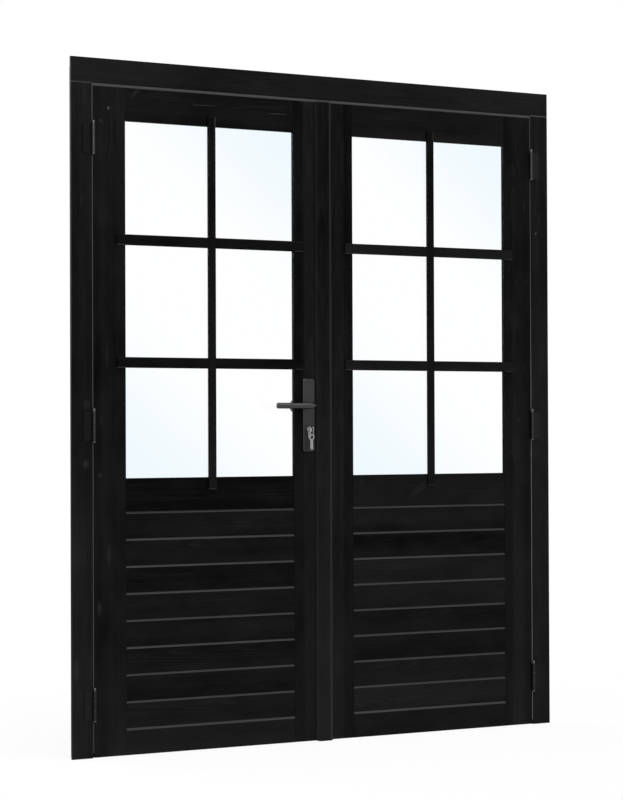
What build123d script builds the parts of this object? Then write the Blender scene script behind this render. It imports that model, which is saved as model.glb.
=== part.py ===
from build123d import *
import os

# A pair of outward-opening timber french doors in their frame, in millimetres.
# X runs to the right, Y inwards and Z up. The leaves' mid plane is Y zero, the frame's feet are Z zero,
# and the front faces -Y. The left leaf carries the lock and opens first, the right leaf is held by bolts.

# Frame and its section
frame_width = 1680.0
frame_height = 2010.0
jamb_face = 65.5
head_face = 72.0
flange_thickness = 10.0
wall_rebate = 22.0
stop_gap = 3.0
stop_thickness = 15.0
stop_overlap = 12.0
frame_arris = 1.5

# Fixing holes through the jambs
fixing_radius = 3.0
fixing_head_radius = 6.0
fixing_inset = 200.0
fixing_mid_pitch = 560.0

# Gaps round the leaves, and the seals in them
hinge_gap = 4.0
head_gap = 9.0
foot_gap = 1.5
meeting_gap = 4.0
seal_setback = 1.5
seal_depth = 9.0
seal_clearance = 0.45
seal_round = 1.2
seal_foot = 14.0

# Leaf members and their joints
leaf_thickness = 40.0
stile_face = 102.5
top_rail_face = 95.7
lock_rail_face = 96.2
bottom_rail_face = 77.6
member_arris = 0.8
tenon_length = 45.0
tenon_thickness = 12.0
tenon_shoulder = 20.0
joint_clearance = 0.15

# Tongued boards of the lower panels
board_count = 8
board_pitch = 78.1
board_thickness = 20.0
panel_setback = 1.5
board_bevel = 6.5
board_bevel_depth = 3.0
board_foot_bevel = 1.5
board_tongue_setback = 8.0
board_tongue = 6.0
board_tongue_height = 7.0
board_housing = 9.0
board_play = 0.2

# Glass, its beads and the bars planted in front of it
glass_setback = 6.0
glass_thickness = 4.0
glass_rebate = 18.0
glass_play = 0.6
bead_depth = 12.0
bead_chamfer = 9.0
muntin_upright_face = 25.0
muntin_cross_face = 31.0
muntin_thickness = 8.0
muntin_overlap = 29.0
muntin_foot_overlap = 36.0
muntin_chamfer = 2.0
muntin_play = 0.1
cross_bar_count = 2
lattice_drop = 4.5

# Cover strip over the meeting line
cover_active_width = 31.0
cover_passive_width = 23.0
cover_thickness = 14.0
cover_chamfer_width = 9.0
cover_chamfer_depth = 5.0
cover_clearance = 0.6
cover_foot_drop = 1.2
cover_foot_notch = 5.0

# Hinges
hinge_height = 86.0
hinge_top_inset = 151.5
hinge_foot_inset = 148.5
hinge_mid_drop = 15.75
knuckle_radius = 5.0
knuckle_standoff = 5.6
knuckle_play = 1.5
knuckle_shares = [0, 1 / 3, 2 / 3, 1]
pin_radius = 3.2
pin_clearance = 0.08
finial_radius = 4.4
finial_rise = 5.4
hinge_plate = 2.5
frame_plate_width = 29.5
leaf_plate_depth = 30.0
plate_corner = 4.0
plate_relief = 0.9

# Lever handle outside, and turning knob inside
backset = 55.0
spindle_height = 1010.5
handle_plate_width = 41.0
handle_plate_drop = 138.5
handle_plate_rise = 81.5
handle_plate_thickness = 8.5
handle_plate_corner = 7.0
handle_plate_ease = 1.6
lever_radius = 9.0
lever_bend = 12.0
lever_length = 128.0
lever_projection = 40.0
lever_tip_ease = 1.2
lever_seat = 3.0
knob_radius = 21.0
knob_depth = 22.0
knob_gap = 9.0
knob_ease = 5.0
running_clearance = 0.1
spindle_size = 8.0
spindle_insert = 20.0
handle_bolt_radius = 2.5
handle_bolt_head_radius = 4.5
handle_bolt_head = 2.5
handle_bolt_inset = 11.0
handle_bolt_engage = 5.0

# Mortise lock
forend_width = 20.0
forend_length = 235.0
forend_thickness = 3.0
case_depth = 78.0
case_thickness = 16.0
case_wall = 1.5
case_rise = 50.0
case_drop = 43.0
case_play = 0.6
hub_radius = 9.0
hub_play = 0.3
spindle_hole_radius = 6.6
latch_width = 12.0
latch_height = 16.0
latch_throw = 11.0
latch_tail = 30.0
latch_nose = 7.0
bolt_height = 24.0
bolt_throw = 14.0
bolt_head = 13.0
bolt_tail = 40.0
bolt_tail_thickness = 4.0
bolt_tuck = 0.5
bolt_window_play = 0.35
strike_front_room = 3.0
strike_back_room = 1.2
strike_depth_room = 2.5
strike_thickness = 2.5
strike_margin = 28.0
hole_radius_in_stile = 11.0

# Profile cylinder, plug and keys
cylinder_drop = 71.0
cylinder_radius = 8.5
cylinder_tail_width = 10.0
cylinder_tail = 24.5
cylinder_proud = 2.0
cylinder_play = 0.3
plug_radius = 6.5
plug_depth = 28.0
plug_proud = 0.5
key_thickness = 2.2
key_blade = 8.0
key_blade_length = 22.0
key_standoff = 2.0
key_bow_radius = 10.5
key_bow_hole_radius = 7.0
key_play = 0.2
ring_radius = 6.5
ring_wire_radius = 0.9
ring_play = 0.45
spare_bow_radius = 9.0
spare_bow_hole_radius = 5.8
spare_blade = 9.0
spare_reach = 60.0
spare_twist = 40.0
spare_notch = 2.2
spare_notch_shares = [1.0, 0.5, 0.9, 0.4]

# Slide bolts on the inner face of the right leaf
slide_plate_width = 34.0
slide_plate_length = 190.0
slide_plate_thickness = 2.0
top_slide_inset = 22.0
foot_slide_inset = 8.0
slide_rod_radius = 4.5
slide_rod_standoff = 8.5
slide_rod_reach = 4.0
slide_travel = 20.0
slide_guide_height = 14.0
slide_guide_wall = 3.5
slide_guide_inset = 14.0
slide_knob_radius = 6.0
slide_knob_length = 16.0
slide_clearance = 0.25
slide_hole_room = 0.8
keeper_thickness = 2.0
keeper_length = 36.0

# One overrun serves every cut
overrun = 1.0

# Planes and edges worked out from the sizes above
front_y = -leaf_thickness / 2
back_y = leaf_thickness / 2
stop_y = back_y + stop_gap
frame_back_y = stop_y + stop_thickness
flange_back_y = front_y + flange_thickness
outer_x = frame_width / 2
jamb_x = outer_x - jamb_face
body_x = outer_x - wall_rebate
hinge_edge_x = jamb_x - hinge_gap
stop_x = hinge_edge_x - stop_overlap
meeting_x = meeting_gap / 2
head_z = frame_height - head_face
leaf_top_z = head_z - head_gap
leaf_foot_z = foot_gap
stop_z = leaf_top_z - stop_overlap

# Sight edges of the leaves, for the right leaf
sight_in_x = meeting_x + stile_face
sight_out_x = hinge_edge_x - stile_face
bottom_rail_z = leaf_foot_z + bottom_rail_face
lock_rail_z = bottom_rail_z + board_count * board_pitch
sight_foot_z = lock_rail_z + lock_rail_face
sight_head_z = leaf_top_z - top_rail_face
leaf_mid_x = (sight_in_x + sight_out_x) / 2
rail_spans = [
    (leaf_foot_z, bottom_rail_z),
    (lock_rail_z, sight_foot_z),
    (sight_head_z, leaf_top_z),
]

# Depths inside a leaf
glass_y = front_y + glass_setback
bead_y = glass_y + glass_thickness
panel_y = front_y + panel_setback
tongue_front_y = panel_y + board_tongue_setback
tongue_back_y = tongue_front_y + board_tongue

# Hinge axis, and the middle heights of the three hinges
axis_x = (jamb_x + hinge_edge_x) / 2
axis_y = front_y - knuckle_standoff
hinge_heights = [
    leaf_top_z - hinge_top_inset,
    (leaf_top_z + leaf_foot_z) / 2 - hinge_mid_drop,
    leaf_foot_z + hinge_foot_inset,
]

# Lock places on the left leaf
lock_x = -(meeting_x + backset)
cylinder_z = spindle_height - cylinder_drop
plate_y = front_y - handle_plate_thickness
lever_y = front_y - lever_projection
forend_x = -(meeting_x + forend_thickness)
forend_z = (spindle_height + cylinder_z) / 2
handle_plate_foot = spindle_height - handle_plate_drop
handle_plate_top = spindle_height + handle_plate_rise
handle_bolt_heights = [handle_plate_foot + handle_bolt_inset, handle_plate_top - handle_bolt_inset]

# Places of the plug's face, the keys and their ring
plug_face_y = plate_y - cylinder_proud - plug_proud
key_bow_y = plug_face_y - key_standoff - key_bow_radius
ring_top_z = cylinder_z - key_bow_hole_radius + ring_wire_radius + ring_play
ring_z = ring_top_z - ring_radius
spare_bow_top_z = ring_z - ring_radius + ring_wire_radius + ring_play
spare_bow_z = spare_bow_top_z - spare_bow_hole_radius

# Strike and slide bolt places on the right leaf
strike_x = meeting_x + strike_thickness
latch_pocket_x = latch_throw - meeting_x + strike_depth_room
bolt_pocket_x = bolt_throw - meeting_x - bolt_tuck + strike_depth_room
slide_x = (meeting_x + sight_in_x) / 2
slide_rod_y = back_y + slide_rod_standoff + slide_plate_thickness
top_plate_z = leaf_top_z - top_slide_inset
foot_plate_z = leaf_foot_z + foot_slide_inset

nodes = {}


def node(name, *pieces):
    """Keeps the solids of one named piece, or of a group of like pieces."""
    solids = [solid for piece in pieces for solid in piece.solids()]
    nodes[name] = solids[0] if len(solids) == 1 else Compound(children=solids)


def block(low, high):
    """A box between two opposite corners."""
    spans = [b - a for a, b in zip(low, high)]
    middle = [(a + b) / 2 for a, b in zip(low, high)]
    return Pos(*middle) * Box(*spans)


def mirrored(piece):
    """The same piece on the other side of the meeting line."""
    return mirror(piece, about=Plane.YZ)


def along_x(points, start, end):
    """A section of (y, z) points run along X."""
    face = make_face(Polyline(points, close=True))
    return extrude(Plane.YZ.offset(start) * face, end - start)


def along_y(face, start, end):
    """A face drawn in X and Z, run along Y."""
    return extrude(Plane.XZ.offset(-end) * face, end - start)


def along_z(points, start, end):
    """A section of (x, y) points run along Z."""
    face = make_face(Polyline(points, close=True))
    return extrude(Plane.XY.offset(start) * face, end - start)


def rod_x(y, z, radius, start, end):
    return extrude(Plane.YZ.offset(start) * (Pos(y, z) * Circle(radius)), end - start)


def rod_y(x, z, radius, start, end):
    return along_y(Pos(x, z) * Circle(radius), start, end)


def rod_z(x, y, radius, start, end):
    return extrude(Plane.XY.offset(start) * (Pos(x, y) * Circle(radius)), end - start)


def ease_front(piece, size):
    """Breaks the edges of the foremost face."""
    face = piece.faces().sort_by(Axis.Y)[0]
    return chamfer(face.edges(), size)


# Frame


def fixing_heights():
    """Heights of the four fixing holes in each jamb, as an outer and an inner pair."""
    middle = head_z / 2
    outer = [fixing_inset, head_z - fixing_inset]
    inner = [middle - fixing_mid_pitch / 2, middle + fixing_mid_pitch / 2]
    return outer + inner


def jamb():
    """The right jamb: front flange, body with a rebate for the wall, and the stop behind the leaf."""
    section = [
        (jamb_x, front_y),
        (outer_x, front_y),
        (outer_x, flange_back_y),
        (body_x, flange_back_y),
        (body_x, frame_back_y),
        (stop_x, frame_back_y),
        (stop_x, stop_y),
        (jamb_x, stop_y),
    ]
    piece = ease_front(along_z(section, 0, head_z), frame_arris)
    fixing_y = (flange_back_y + back_y) / 2
    sink = fixing_head_radius - fixing_radius
    for height in fixing_heights():
        hole = rod_x(fixing_y, height, fixing_radius, jamb_x, body_x)
        mouth = Cone(fixing_head_radius, fixing_radius, sink)
        mouth = Pos(jamb_x + sink / 2, fixing_y, height) * Rot(0, 90, 0) * mouth
        piece = piece - hole - mouth
    return piece


def frame_head():
    """The head lies across both jambs, with the same section turned on its side."""
    flange = block((-outer_x, front_y, head_z), (outer_x, flange_back_y, frame_height))
    flange = ease_front(flange, frame_arris)
    body_top = frame_height - wall_rebate
    body = block((-body_x, flange_back_y, head_z), (body_x, frame_back_y, body_top))
    stop = block((-stop_x, stop_y, stop_z), (stop_x, frame_back_y, head_z))
    hole_radius = slide_rod_radius + slide_hole_room
    keeper_hole = rod_z(slide_x, slide_rod_y, hole_radius, stop_z, stop_z + slide_travel)
    return flange + body + stop - keeper_hole


def seal(low, high):
    """A soft strip with its front edges rounded."""
    strip = block(low, high)
    longest = max(strip.edges(), key=lambda edge: edge.length).length
    front = strip.faces().sort_by(Axis.Y)[0]
    return fillet([e for e in front.edges() if e.length == longest], seal_round)


def frame_seals():
    """Seals in the gaps beside and above the leaves."""
    seal_y = front_y + seal_setback
    seal_x = hinge_edge_x + seal_clearance
    side = seal((seal_x, seal_y, seal_foot), (jamb_x, seal_y + seal_depth, head_z))
    seal_z = leaf_top_z + seal_clearance
    top = seal((-seal_x, seal_y, seal_z), (seal_x, seal_y + seal_depth, head_z))
    return side, top


# Leaves


def tenon_zone(rail_foot_z, rail_head_z, grow):
    """The tenons at both ends of a rail, or with some clearance their mortises."""
    low_z = rail_foot_z + tenon_shoulder - grow
    high_z = rail_head_z - tenon_shoulder + grow
    half = tenon_thickness / 2 + grow
    reach = tenon_length + grow
    return block((sight_in_x - reach, -half, low_z), (sight_out_x + reach, half, high_z))


def glass_zone():
    """What is rebated from the inner side for the glass and its beads."""
    low = (sight_in_x - glass_rebate, glass_y, sight_foot_z - glass_rebate)
    high = (sight_out_x + glass_rebate, back_y + overrun, sight_head_z + glass_rebate)
    return block(low, high)


def panel_groove():
    """The grooves in both stiles that take the ends of the boards."""
    reach = board_housing + board_play
    low = (sight_in_x - reach, tongue_front_y - board_play, bottom_rail_z)
    high = (sight_out_x + reach, tongue_back_y + board_play, lock_rail_z)
    return block(low, high)


def stile(start_x, end_x):
    """A stile with its mortises, its glass rebate and its panel groove."""
    piece = block((start_x, front_y, leaf_foot_z), (end_x, back_y, leaf_top_z))
    piece = ease_front(piece, member_arris) - glass_zone() - panel_groove()
    for foot_z, top_z in rail_spans:
        piece -= tenon_zone(foot_z, top_z, joint_clearance)
    return piece


def hinge_stile():
    piece = stile(sight_out_x, hinge_edge_x)
    for height in hinge_heights:
        piece -= leaf_plate_blank(height, joint_clearance)
    return piece


def meeting_stile():
    return stile(meeting_x, sight_in_x)


def top_rail():
    low = (sight_in_x, front_y, sight_head_z)
    rail = ease_front(block(low, (sight_out_x, back_y, leaf_top_z)), member_arris)
    return rail - glass_zone() + tenon_zone(sight_head_z, leaf_top_z, 0)


def lock_rail():
    """The rail between glass and panel, grooved below for the top board's tongue."""
    low = (sight_in_x, front_y, lock_rail_z)
    rail = ease_front(block(low, (sight_out_x, back_y, sight_foot_z)), member_arris)
    groove_low = (sight_in_x, tongue_front_y - board_play, lock_rail_z)
    groove_top = lock_rail_z + board_tongue_height + board_play
    groove = block(groove_low, (sight_out_x, tongue_back_y + board_play, groove_top))
    return rail - glass_zone() - groove + tenon_zone(lock_rail_z, sight_foot_z, 0)


def tongue_points(top_z):
    """The tongue on the top edge of a board or of the bottom rail, front to back."""
    return [
        (tongue_front_y, top_z),
        (tongue_front_y, top_z + board_tongue_height),
        (tongue_back_y, top_z + board_tongue_height),
        (tongue_back_y, top_z),
    ]


def bottom_rail():
    """The lowest member, bevelled and tongued on top as the boards are."""
    top_z = bottom_rail_z
    section = [
        (front_y, leaf_foot_z),
        (front_y, top_z - board_bevel),
        (front_y + board_bevel_depth, top_z),
        *tongue_points(top_z),
        (back_y, top_z),
        (back_y, leaf_foot_z),
    ]
    rail = along_x(section, sight_in_x, sight_out_x)
    return rail + tenon_zone(leaf_foot_z, bottom_rail_z, 0)


def board(index):
    """One panel board: bevelled front edges, tongue above, groove below, and housed ends."""
    foot_z = bottom_rail_z + index * board_pitch
    top_z = foot_z + board_pitch
    groove_z = foot_z + board_tongue_height + board_play
    back = panel_y + board_thickness
    section = [
        (panel_y + board_foot_bevel, foot_z),
        (panel_y, foot_z + board_foot_bevel),
        (panel_y, top_z - board_bevel),
        (panel_y + board_bevel_depth, top_z),
        *tongue_points(top_z),
        (back, top_z),
        (back, foot_z),
        (tongue_back_y + board_play, foot_z),
        (tongue_back_y + board_play, groove_z),
        (tongue_front_y - board_play, groove_z),
        (tongue_front_y - board_play, foot_z),
    ]
    piece = along_x(section, sight_in_x, sight_out_x)
    low_z, high_z = groove_z + board_play, top_z - board_play
    for start_x, end_x in (
        (sight_in_x - board_housing, sight_in_x),
        (sight_out_x, sight_out_x + board_housing),
    ):
        piece += block((start_x, tongue_front_y, low_z), (end_x, tongue_back_y, high_z))
    return piece


def glass_pane():
    reach = glass_rebate - glass_play
    low = (sight_in_x - reach, glass_y, sight_foot_z - reach)
    return block(low, (sight_out_x + reach, bead_y, sight_head_z + reach))


def glazing_beads():
    """Four chamfered beads that hold the glass from the inner side."""
    reach = glass_rebate - glass_play
    bead_back_y = bead_y + bead_depth
    slope_y = bead_back_y - bead_chamfer

    def bead_section(outer, inner, slope):
        return [
            (outer, bead_y),
            (inner, bead_y),
            (inner, slope_y),
            (inner + slope, bead_back_y),
            (outer, bead_back_y),
        ]

    low_z, high_z = sight_foot_z - reach, sight_head_z + reach
    meeting = bead_section(sight_in_x - reach, sight_in_x, -bead_chamfer)
    hinge = bead_section(sight_out_x + reach, sight_out_x, bead_chamfer)
    foot = bead_section(low_z, sight_foot_z, -bead_chamfer)
    head = bead_section(high_z, sight_head_z, bead_chamfer)
    upright = [along_z(meeting, low_z, high_z), along_z(hinge, low_z, high_z)]
    level = [
        along_x([(y, z) for z, y in section], sight_in_x, sight_out_x)
        for section in (foot, head)
    ]
    return upright + level


def cross_bar_heights():
    """Middle heights of the level glazing bars, which share the glass out evenly."""
    panes = cross_bar_count + 1
    clear = sight_head_z - sight_foot_z - cross_bar_count * muntin_cross_face
    pitch = clear / panes + muntin_cross_face
    start = sight_foot_z - lattice_drop - muntin_cross_face / 2
    return [start + pitch * number for number in range(1, panes)]


def muntin_bars():
    """One upright and two level bars, planted on the leaf's face and halved where they cross."""
    bar_y = front_y - muntin_thickness
    halving_y = front_y - muntin_thickness / 2
    half_x, half_z = muntin_upright_face / 2, muntin_cross_face / 2
    foot_z, top_z = sight_foot_z - muntin_foot_overlap, sight_head_z + muntin_overlap
    start_x, end_x = sight_in_x - muntin_overlap, sight_out_x + muntin_overlap
    low_x, high_x = leaf_mid_x - half_x, leaf_mid_x + half_x
    upright = block((low_x, bar_y, foot_z), (high_x, front_y, top_z))
    upright = ease_front(upright, muntin_chamfer)
    levels = []
    for height in cross_bar_heights():
        low_z, high_z = height - half_z, height + half_z
        bar = block((start_x, bar_y, low_z), (end_x, front_y, high_z))
        bar = ease_front(bar, muntin_chamfer)
        notch_low = (low_x - muntin_play, bar_y - overrun, low_z - overrun)
        notch_high = (high_x + muntin_play, halving_y + muntin_play, high_z + overrun)
        levels.append(bar - block(notch_low, notch_high))
        back_low = (low_x - overrun, halving_y, low_z - muntin_play)
        back_high = (high_x + overrun, front_y + overrun, high_z + muntin_play)
        upright -= block(back_low, back_high)
    return upright, levels


def cover_strip():
    """The strip on the left leaf that covers the meeting line, with a narrower foot."""
    face_y = front_y - cover_thickness
    slope_y = face_y + cover_chamfer_depth
    section = [
        (-cover_active_width, front_y),
        (-cover_active_width, slope_y),
        (cover_chamfer_width - cover_active_width, face_y),
        (cover_passive_width - cover_chamfer_width, face_y),
        (cover_passive_width, slope_y),
        (cover_passive_width, front_y - cover_clearance),
        (-meeting_x, front_y - cover_clearance),
        (-meeting_x, front_y),
    ]
    foot_z = leaf_foot_z - cover_foot_drop
    strip = along_z(section, foot_z, leaf_top_z)
    sides = (
        (-cover_active_width - overrun, cover_foot_notch - cover_active_width),
        (cover_passive_width - cover_foot_notch, cover_passive_width + overrun),
    )
    for start_x, end_x in sides:
        low = (start_x, face_y - overrun, foot_z - overrun)
        strip -= block(low, (end_x, front_y + overrun, leaf_foot_z))
    return strip


# Hinges


def knuckle(height, start_share, end_share):
    """A stretch of the hinge barrel, between two shares of the hinge's height."""
    foot = height - hinge_height / 2
    start = foot + hinge_height * start_share + knuckle_play / 2
    end = foot + hinge_height * end_share - knuckle_play / 2
    return rod_z(axis_x, axis_y, knuckle_radius, start, end)


def pin_bore(height):
    reach = hinge_height / 2 + overrun
    radius = pin_radius + pin_clearance
    return rod_z(axis_x, axis_y, radius, height - reach, height + reach)


def frame_hinge_plate(height):
    """The plate on the jamb's face, with the upper and the lower knuckle."""
    half = hinge_height / 2
    low = (axis_x, front_y - hinge_plate, height - half)
    plate = block(low, (jamb_x + frame_plate_width, front_y, height + half))
    outer = plate.edges().filter_by(Axis.Y).group_by(Axis.X)[-1]
    plate = fillet(outer, plate_corner)
    third = hinge_height * knuckle_shares[1] / 2 + knuckle_play / 2
    clear_x = axis_x + knuckle_radius + plate_relief
    relief_low = (axis_x - overrun, front_y - hinge_plate - overrun, height - third)
    plate -= block(relief_low, (clear_x, front_y + overrun, height + third))
    for lower in (0, 2):
        plate += knuckle(height, knuckle_shares[lower], knuckle_shares[lower + 1])
    return plate - pin_bore(height)


def leaf_plate_blank(height, grow):
    """The plate let into the leaf's edge, or with some clearance its recess."""
    half = hinge_height / 2 + grow
    low = (hinge_edge_x - hinge_plate - grow, front_y - grow, height - half)
    return block(low, (hinge_edge_x + grow, front_y + leaf_plate_depth + grow, height + half))


def leaf_hinge_plate(height):
    """The plate in the leaf's edge, with the middle knuckle."""
    start, end = knuckle_shares[1], knuckle_shares[2]
    barrel = knuckle(height, start, end)
    third = hinge_height * (end - start) / 2 - knuckle_play / 2
    low = (hinge_edge_x - hinge_plate, axis_y, height - third)
    neck = block(low, (hinge_edge_x, front_y, height + third))
    return leaf_plate_blank(height, 0) + neck + barrel - pin_bore(height)


def hinge_pin(height):
    """A pin with a ball on its neck above and a flat button below."""
    ball_z = height + hinge_height / 2 + finial_rise
    foot = height - hinge_height / 2
    shank = rod_z(axis_x, axis_y, pin_radius, foot, ball_z)
    ball = Pos(axis_x, axis_y, ball_z) * Sphere(finial_radius)
    button = rod_z(axis_x, axis_y, finial_radius, foot - hinge_plate, foot)
    return shank + ball + button


# Lock and handles


def profile_cylinder_face(grow):
    """The round and tail outline of the profile cylinder."""
    tail = cylinder_tail + grow
    width = cylinder_tail_width + grow + grow
    face = Circle(cylinder_radius + grow) + Pos(0, -tail / 2) * Rectangle(width, tail)
    return Pos(lock_x, cylinder_z) * face


def case_block(grow):
    """The lock case's outside, or with some play its mortise in the stile."""
    half = case_thickness / 2 + grow
    low = (forend_x - case_depth - grow, -half, cylinder_z - case_drop - grow)
    return block(low, (forend_x, half, spindle_height + case_rise + grow))


def forend_block(grow):
    half_y, half_z = forend_width / 2 + grow, forend_length / 2 + grow
    return block((forend_x - grow, -half_y, forend_z - half_z), (-meeting_x, half_y, forend_z + half_z))


def latch_window(grow):
    """The space of the latch's body where it passes through the forend."""
    half_y, half_z = latch_width / 2 + grow, latch_height / 2 + grow
    low = (forend_x - overrun, -half_y, spindle_height - half_z)
    return block(low, (-meeting_x + overrun, half_y, spindle_height + half_z))


def bolt_window(grow):
    half_y, half_z = latch_width / 2 + grow, bolt_height / 2 + grow
    low = (forend_x - overrun, -half_y, cylinder_z - half_z)
    return block(low, (-meeting_x + overrun, half_y, cylinder_z + half_z))


def lock_case():
    """A hollow case, open at the forend, with holes for spindle and cylinder."""
    inner = case_thickness / 2 - case_wall
    low_z = cylinder_z - case_drop + case_wall
    high_z = spindle_height + case_rise - case_wall
    low = (forend_x - case_depth + case_wall, -inner, low_z)
    hollow = block(low, (forend_x + overrun, inner, high_z))
    reach = case_thickness / 2 + overrun
    spindle = rod_y(lock_x, spindle_height, spindle_hole_radius, -reach, reach)
    cylinder = along_y(profile_cylinder_face(cylinder_play), -reach, reach)
    return case_block(0) - hollow - spindle - cylinder


def lock_forend():
    plate = forend_block(0) - latch_window(bolt_window_play) - bolt_window(bolt_window_play)
    ends = plate.edges().filter_by(Axis.X)
    corners = [e for e in ends if abs(abs(e.center().Z - forend_z) - forend_length / 2) < overrun]
    return fillet(corners, plate_corner)


def latch_bolt():
    """A latch with a slanted nose, which passes the strike as the leaf closes."""
    half_y = latch_width / 2
    nose_x = latch_throw - meeting_x
    section = [
        (forend_x - latch_tail, -half_y),
        (nose_x, -half_y),
        (nose_x, half_y - latch_nose),
        (nose_x - latch_nose, half_y),
        (forend_x - latch_tail, half_y),
    ]
    half_z = latch_height / 2
    return along_z(section, spindle_height - half_z, spindle_height + half_z)


def dead_bolt():
    """A bolt with a full head, which leaves the forend, and a thin tail inside the case."""
    half_y, half_tail = latch_width / 2, bolt_tail_thickness / 2
    low_z, high_z = cylinder_z - bolt_height / 2, cylinder_z + bolt_height / 2
    head_x = forend_x - bolt_head
    head = block((head_x, -half_y, low_z), (-meeting_x - bolt_tuck, half_y, high_z))
    return head + block((forend_x - bolt_tail, -half_tail, low_z), (head_x, half_tail, high_z))


def lock_mortises():
    """What the active stile loses for the lock, the spindle, the cylinder and the handle bolts."""
    through = back_y + overrun
    cut = case_block(case_play) + forend_block(joint_clearance)
    cut += rod_y(lock_x, spindle_height, hole_radius_in_stile, -through, through)
    cut += along_y(profile_cylinder_face(case_play), -through, through)
    for height in handle_bolt_heights:
        cut += rod_y(lock_x, height, handle_bolt_radius + joint_clearance, -through, through)
    return cut


def handle_plate_blank():
    """A long plate with rounded corners and an eased front, on the outer side."""
    height = handle_plate_top - handle_plate_foot
    middle = (handle_plate_top + handle_plate_foot) / 2
    face = Pos(lock_x, middle) * RectangleRounded(handle_plate_width, height, handle_plate_corner)
    plate = ease_front(along_y(face, plate_y, front_y), handle_plate_ease)
    neck = rod_y(lock_x, spindle_height, lever_radius + running_clearance, plate_y, front_y)
    cylinder = along_y(profile_cylinder_face(cylinder_play), plate_y, front_y)
    return plate - neck - cylinder


def outer_handle_plate():
    """The outer plate takes the ends of the handle bolts in blind holes."""
    plate = handle_plate_blank()
    for height in handle_bolt_heights:
        radius = handle_bolt_radius + joint_clearance
        plate -= rod_y(lock_x, height, radius, front_y - handle_bolt_engage, front_y)
    return plate


def inner_handle_plate():
    plate = mirror(handle_plate_blank(), about=Plane.XZ)
    for height in handle_bolt_heights:
        radius = handle_bolt_radius + joint_clearance
        plate -= rod_y(lock_x, height, radius, back_y, -plate_y)
    return plate


def handle_bolt(height):
    """A bolt from the inner plate into the outer one."""
    end_y = front_y - handle_bolt_engage
    shank = rod_y(lock_x, height, handle_bolt_radius, end_y, -plate_y)
    return shank + rod_y(lock_x, height, handle_bolt_head_radius, -plate_y, handle_bolt_head - plate_y)


def spindle_bar(grow):
    """The square bar from the lever to the knob, or with some clearance its socket."""
    half = spindle_size / 2 + grow
    reach = -(front_y - lever_seat) + spindle_insert + grow
    low = (lock_x - half, -reach, spindle_height - half)
    return block(low, (lock_x + half, reach, spindle_height + half))


def outer_lever():
    """A round bar: a neck out of the plate, one bend, and a grip towards the hinges."""
    route = FilletPolyline(
        (lock_x, front_y - lever_seat, spindle_height),
        (lock_x, lever_y, spindle_height),
        (lock_x - lever_length, lever_y, spindle_height),
        radius=lever_bend,
    )
    start = Plane(origin=route @ 0, z_dir=route % 0)
    bar = sweep(start * Circle(lever_radius), path=route)
    tip = bar.edges().group_by(Axis.X)[0]
    return chamfer(tip, lever_tip_ease) - spindle_bar(joint_clearance)


def inner_knob():
    """A round knob on a neck, turned on the inner side."""
    start_y = knob_gap - plate_y
    head = rod_y(lock_x, spindle_height, knob_radius, start_y, start_y + knob_depth)
    head = fillet(head.edges().filter_by(GeomType.CIRCLE), knob_ease)
    neck = rod_y(lock_x, spindle_height, lever_radius, lever_seat + back_y, start_y + knob_depth / 2)
    return head + neck - spindle_bar(joint_clearance)


def latch_hub():
    """The round follower that the spindle turns inside the lock case."""
    half = case_thickness / 2 - case_wall - hub_play
    hub = rod_y(lock_x, spindle_height, hub_radius, -half, half)
    return hub - spindle_bar(joint_clearance)


def cylinder_body():
    """The profile cylinder, bored from the outer side for its plug."""
    reach = -plate_y + cylinder_proud
    body = along_y(profile_cylinder_face(0), -reach, reach)
    bore_radius = plug_radius + pin_clearance
    return body - rod_y(lock_x, cylinder_z, bore_radius, -reach, plug_depth - reach)


def cylinder_plug():
    """The turning plug with its keyway."""
    end_y = plate_y - cylinder_proud + plug_depth - hub_play
    plug = rod_y(lock_x, cylinder_z, plug_radius, plug_face_y, end_y)
    half_x, half_z = key_thickness / 2 + key_play, key_blade / 2 + key_play
    low = (lock_x - half_x, plug_face_y, cylinder_z - half_z)
    keyway_end = plug_face_y + key_blade_length + key_play
    return plug - block(low, (lock_x + half_x, keyway_end, cylinder_z + half_z))


def flat_key(y, z, bow_radius, hole_radius):
    """A key's round bow with a large hole, standing in the plane of Y and Z."""
    start, end = lock_x - key_thickness / 2, lock_x + key_thickness / 2
    return rod_x(y, z, bow_radius, start, end) - rod_x(y, z, hole_radius, start, end)


def house_key():
    """The key in the lock: bow, shoulder and blade."""
    half_x, half_z = key_thickness / 2, key_blade / 2
    rim_y = (key_bow_radius + key_bow_hole_radius) / 2
    low = (lock_x - half_x, key_bow_y + rim_y, cylinder_z - half_z)
    blade_end = plug_face_y + key_blade_length
    blade = block(low, (lock_x + half_x, blade_end, cylinder_z + half_z))
    return blade + flat_key(key_bow_y, cylinder_z, key_bow_radius, key_bow_hole_radius)


def key_ring():
    """A wire ring that hangs in the bow of the key."""
    ring = Torus(ring_radius, ring_wire_radius)
    return Pos(lock_x, key_bow_y, ring_z) * Rot(90, 0, 0) * ring


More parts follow.
